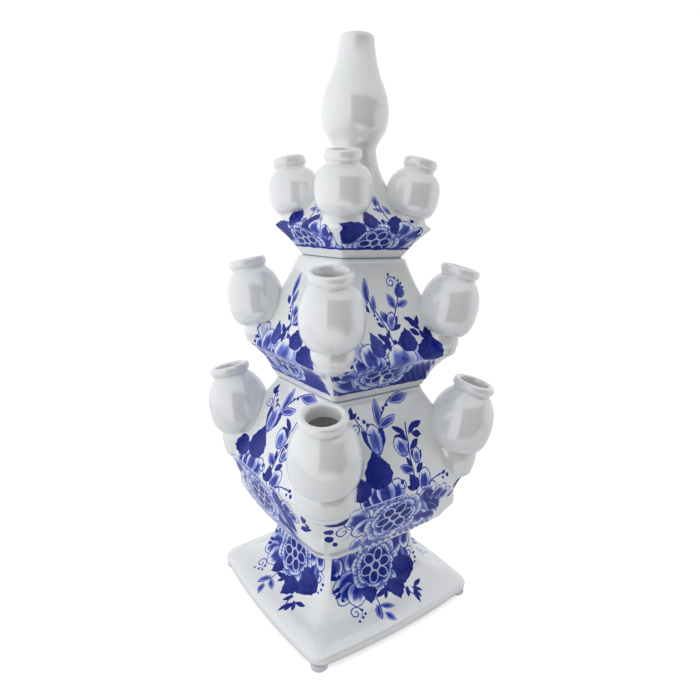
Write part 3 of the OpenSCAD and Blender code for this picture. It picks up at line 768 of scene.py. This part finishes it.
middleSet = {
    "footZ": 163.5, "height": 88.5, "mouth": 16, "mouthBelow": 25,
    "outside": [(38.8, 0, 4, 0.3), (42, 6.5, 4, 0.3)]
               + curve((42, 6.5, 4, 0.3), (46.3, 17.8, 5, 0.5), (56, 25, 5, 0.5), 6)
               + curve((56, 25, 5, 0.5), (38.5, 56.75, 7, 0.5), (29, 85.5, 6, 0.3), 10)
               + curve((29, 85.5, 6, 0.3), (28.5, 88.5, 5, 0.3), (25.5, 88.5, 4, 0.3), 4),
    "hollow": [(35.5, 4.5, 5, 0.3), (43.5, 25, 12, 0.3), (24.5, 84, 12, 0.3)],
    "lean": 14, "seatR": 63.9, "seatZ": 203, "stubD": 28, "stubL": 17, "stubIn": 8, "droop": 0.5, "cup": 0,
    "depth": 20, "blend": 30, "crispTo": 6,
    "spoutL": 46, "bulbD": 40, "waistD": 26, "boreD": 18.8, "throatD": 23.4, "lipD": 26.6, "lipL": 6.8,
    "bulge": 0.36, "eave": 25, "underScale": 1.22, "roofScale": 1.105,
    "painting": [
        ("ground", -7, 7.5, 26, 39, 0.64, 0.9), ("ground", 21, 7.5, 23, 14, 0.88, 0.9),
        ("petal", -34, 18, 150, 11, 8, 0.75), ("petal", -24, 20, 120, 10, 7), ("petal", -38, 24, 160, 7, 5),
        ("peony", -7, 22, 22, 15, 9),
        ("petal", -31, 33, 120, 6, 5), ("petal", -17, 31, 110, 7, 5), ("petal", -29, 41, 115, 7, 4.5, 0.3),
        ("petal", -22, 37, 105, 7, 6.5),
        ("heart", -15, 44, 108, 8, 5, 0.8), ("petal", 18, 33, 60, 7, 6.5, 0.3),
        ("petal", 3, 33, 85, 9, 10.5, 0.6),
        ("heart", 11, 45, 90, 7.5, 7), ("heart", 29, 37, 75, 8.5, 10.5),
        ("leaf", 19, 55, 135, 5.5, 2.2, 0.98), ("leaf", 23, 56, 70, 4, 1.7, 0.98),
        ("leaf", 16.5, 58, 165, 4, 1.6, 0.98),
        ("leaf", 19, 49, 150, 4, 1.8, 0.98), ("stem", 24, 49, 110, 7, 0, 0.7, 0.95),
        ("leaf", 29, 48, 65, 5, 2.2, 0.98), ("leaf", 31.5, 47, 25, 4, 1.9, 0.98),
        ("leaf", 25.5, 46.5, 125, 4, 1.8, 0.98),
        ("leaf", -6, 44, 100, 5, 2.2), ("dot", -9, 42, 1.6), ("dot", 0, 44, 1.5), ("dot", 3, 43, 1.3),
        ("leaf", -9, 48, 140, 4, 1.6), ("leaf", -4, 49, 60, 3.5, 1.4),
        ("dot", -35, 37, 1.2), ("dot", -38, 33, 1.2), ("dot", -41, 29, 1.2), ("leaf", -45, 24, 140, 4, 1.6),
        ("stem", -6.5, 56, 112, 13, -1), ("leaf", -14, 79, 84, 8.5, 2.4, 0.8, 0.3),
        ("leaf", -10, 70, 80, 5.5, 1.9, 0.8, 0.3),
        ("leaf", -16.5, 68, 130, 3.6, 1.9), ("stem", -12.5, 70, 104, 6), ("dot", -11, 62.5, 0.9),
        ("dot", -9.5, 60, 0.9), ("leaf", -8, 56, 140, 3, 1.3),
        ("leaf", -4, 61, 110, 4, 2.4, 0.75, 0.3), ("bud", 1.5, 58, 75, 5.4),
        ("leaf", 5, 53.5, 20, 3.5, 1.6),
        ("stem", 8, 70, 66, 12, -1.5), ("leaf", 5, 71, 112, 5.4, 2.8, 0.75, 0.3),
        ("leaf", 14, 69, 14, 5.4, 2.3, 0.75, 0.3), ("heart", 14, 78.5, 80, 5, 3.8, 0.75),
        ("curl", 8, 84, 60, 4), ("dot", 12, 87, 0.8), ("dot", 14.5, 85, 0.8), ("dot", 16.5, 83, 0.8),
        ("dot", 17.5, 80.5, 0.7), ("dot", 7, 89.5, 0.9),
        ("drop", -6, 14, 110, 5, 1.5),
        ("line", 7.2, 38, 0.9), ("seam",),
    ],
}
dressTier("middle", middleSet)

# top tier and finial

topSet = {
    "footZ": 252, "height": 69, "mouth": 0, "mouthBelow": 16,
    "outside": [(25.8, 0, 4, 0.3), (29.5, 6.5, 4, 0.3)]
               + curve((29.5, 6.5, 4, 0.3), (34.4, 13.3, 5, 0.5), (40.5, 19.5, 5, 0.5), 6)
               + curve((40.5, 19.5, 5, 0.5), (15, 41.4, 11, 0.3), (14.5, 69, 13, 0.3), 14),
    "hollow": [(22.5, 4.5, 5, 0.3), (27, 19.5, 15, 0.3)]
              + curve((27, 19.5, 15, 0.3), (10, 37.95, 8.5, 0.3), (10, 70, 8.5, 0.3), 8),
    "lean": 12, "seatR": 36.9, "seatZ": 280, "stubD": 27, "stubL": 9.5, "stubIn": 0.5, "droop": 0.35,
    "cup": 0, "depth": 13, "blend": 16, "crispTo": 6,
    "spoutL": 36.5, "bulbD": 35.4, "waistD": 24, "boreD": 16, "throatD": 19.6, "lipD": 22.2, "lipL": 6.8,
    "bulge": 0.36, "eave": 19.5, "underScale": 1.27, "roofScale": 1.33,
    "painting": [
        ("ground", -3, 7.5, 18, 27, 0.72, 0.6),
        ("petal", 18, 13, 30, 9, 6), ("petal", 23, 20, 50, 6, 4), ("petal", -22, 12, 150, 8, 5),
        ("peony", -6, 13, 18.5, 14, 9),
        ("heart", -28, 22, 150, 9, 8), ("heart", -14, 32, 110, 7, 6), ("heart", 7, 28, 60, 7.5, 5.5),
        ("petal", 14, 24, 60, 6, 5.5), ("leaf", 2, 27, 130, 4, 1.8), ("dot", -3, 30, 1.5),
        ("dot", -6.5, 29, 1.1), ("dot", 12, 32, 1.2),
        ("dot", 20, 31, 1.2), ("leaf", 25, 22, 60, 4, 1.4), ("leaf", 27, 19, 20, 3, 1.2),
        ("stem", 2, 38, 100, 8, 1),
        ("leaf", 5, 39, 120, 4, 1.9, 0.8, 0.3), ("leaf", -2, 39, 170, 4, 1.6, 0.8, 0.3),
        ("leaf", -1.5, 46, 75, 4.5, 2.2, 0.8, 0.3), ("dot", 0, 65, 0.8),
        ("line", 7.8, 29, 0.9), ("seam",),
    ],
}
dressTier("top", topSet)

finialSet = {"seat": 321, "height": 67.5, "neck": 14.5, "belly": 22, "mouth": 11.2, "wall": 4.5, "tenon": 1,
             "hipAt": 0.12, "bellyAt": 0.32, "shoulderAt": 0.62, "rimAt": 0.95, "steps": 96}


def makeFinial(s):
    neck, belly, mouth, wall, tall = s["neck"], s["belly"], s["mouth"], s["wall"], s["height"]
    half = 0.5 * (belly + mouth)
    foot, hip = (neck - wall, -s["tenon"]), (0.5 * (neck + belly), s["hipAt"] * tall)
    waist, shoulder = (belly, s["bellyAt"] * tall), (half, s["shoulderAt"] * tall)
    rim, crown, flare = (mouth, s["rimAt"] * tall), (mouth - 1.6, tall), (mouth - 3.4, tall - 2)
    inside, hollow = (half - wall, 0.6 * tall), (belly - wall, 0.3 * tall)
    profile = [foot, (neck - 0.3, -s["tenon"]), (neck, 0)]
    profile += curve((neck, 0), (neck + 0.4, 0.05 * tall), hip, 6)
    profile += curve(hip, (belly, 0.2 * tall), waist, 10)
    profile += curve(waist, (belly, 0.46 * tall), shoulder, 12)
    profile += curve(shoulder, (mouth + 1.2, 0.78 * tall), rim, 10)
    profile += curve(rim, (mouth - 0.2, tall), crown, 6)
    profile += curve(crown, (mouth - 3.3, tall), flare, 5)
    profile += curve(flare, (mouth - 3, 0.75 * tall), inside, 6)
    profile += curve(inside, (belly - wall, 0.46 * tall), hollow, 8)
    profile += curve(hollow, (belly - wall, 0.12 * tall), foot, 8)
    piece = spun("bottle_finial", profile, s["steps"])
    settle(piece, Matrix.Translation((0, 0, s["seat"] * mm)))
    return piece


dressed(makeFinial(finialSet), bareWhite, "top_body", "white_glaze", "finial")
print("finial done")

# camera

cameraSet = {"yaw": 53.245, "pitch": 13.147, "roll": -1.631, "place": (296.752, -220.311, 271.946),
             "focal": 529.77, "frame": 700, "sensor": 36, "clip": 0.01}  # focal and frame in pixels
yaw, pitch, roll = (math.radians(cameraSet[name]) for name in ("yaw", "pitch", "roll"))
back = Vector((math.sin(yaw) * math.cos(pitch), -math.cos(yaw) * math.cos(pitch), math.sin(pitch)))
side = Vector((math.cos(yaw), math.sin(yaw), 0))
down = (-back).cross(side)
right = math.cos(roll) * side + math.sin(roll) * down
up = math.sin(roll) * side - math.cos(roll) * down
lens = bpy.data.cameras.new("camera")
lens.sensor_width = cameraSet["sensor"]
lens.lens = cameraSet["focal"] / cameraSet["frame"] * lens.sensor_width
lens.clip_start = cameraSet["clip"]
camera = bpy.data.objects.new("camera", lens)
stance = Matrix((right, up, back)).transposed().to_4x4()
camera.matrix_world = Matrix.Translation(Vector(cameraSet["place"]) * mm) @ stance
bpy.context.scene.collection.objects.link(camera)
bpy.context.scene.camera = camera

# floor

stageSet = {"floor": 1.1, "front": 0.23, "white": (0.9, 0.9, 0.9, 1), "glow": 0.55}  # lengths in metres
away = stageSet["floor"] / 2 - stageSet["front"]
clearSelection()
bpy.ops.mesh.primitive_plane_add(size=stageSet["floor"], rotation=(0, 0, yaw),
                                 location=(-math.sin(yaw) * away, math.cos(yaw) * away, 0))
floor = bpy.context.object
floor.name = "floor"
paleFloor = bpy.data.materials.new("pale floor")
paleFloor.use_nodes = True
floorNodes = paleFloor.node_tree.nodes
floorNodes.remove(floorNodes["Principled BSDF"])
ray = Shade(paleFloor.node_tree).node("ShaderNodeLightPath", {}, {}, "Is Camera Ray")
matt = ray.node("ShaderNodeBsdfDiffuse", {}, {"Color": stageSet["white"]})
glow = ray.node("ShaderNodeEmission", {}, {"Color": (1, 1, 1, 1), "Strength": stageSet["glow"]})
both = ray.node("ShaderNodeAddShader", {}, {0: matt, 1: glow})
ray.node("ShaderNodeMixShader", {}, {0: ray, 1: matt, 2: both}).feed(floorNodes["Material Output"], "Surface")
floor.data.materials.append(paleFloor)

# tent of light, with a darker opening on the camera's side

tentSet = {"walls": 1.17, "opening": 0.0, "middle": 0.36, "width": 0.58, "lift": -0.14, "height": 0.54,
           "edge": 7.0, "mask": 8.0, "front": 0.2, "left": 0.03, "roof": -0.3, "seen": 1.05,
           "colour": (0.965, 0.98, 1.03, 1)}
world = bpy.data.worlds.new("tent of light")
bpy.context.scene.world = world
world.use_nodes = True
sky = world.node_tree.nodes["Background"]
aim = Shade(world.node_tree).node("ShaderNodeTexCoord", {}, {}, "Generated")


def towards(direction):  # how far a ray points that way, -1 to 1
    return aim.node("ShaderNodeVectorMath", {"operation": "DOT_PRODUCT"}, {0: aim, 1: direction}, "Value")


wide, high, ahead = towards(side), towards(-down), towards(back)
gap = (tentSet["width"] - abs(wide - tentSet["middle"])).over(tentSet["edge"])
gap = gap.least((tentSet["height"] - abs(high - tentSet["lift"])).over(tentSet["edge"]))
gap = gap.least(ahead.over(tentSet["mask"], 0.0)).mixed(0.0, 1.0)
walls = wide * -tentSet["left"] + ahead * tentSet["front"]
walls = walls + towards(Vector((0, 0, 1))).most(0.0) * tentSet["roof"] + tentSet["walls"]
seen = aim.node("ShaderNodeLightPath", {}, {}, "Is Camera Ray")
seen.mixed(gap.mixed(walls, tentSet["opening"]), tentSet["seen"]).feed(sky, "Strength")
sky.inputs["Color"].default_value = tentSet["colour"]

bpy.context.scene.view_settings.view_transform = "Standard"
print("stage done")
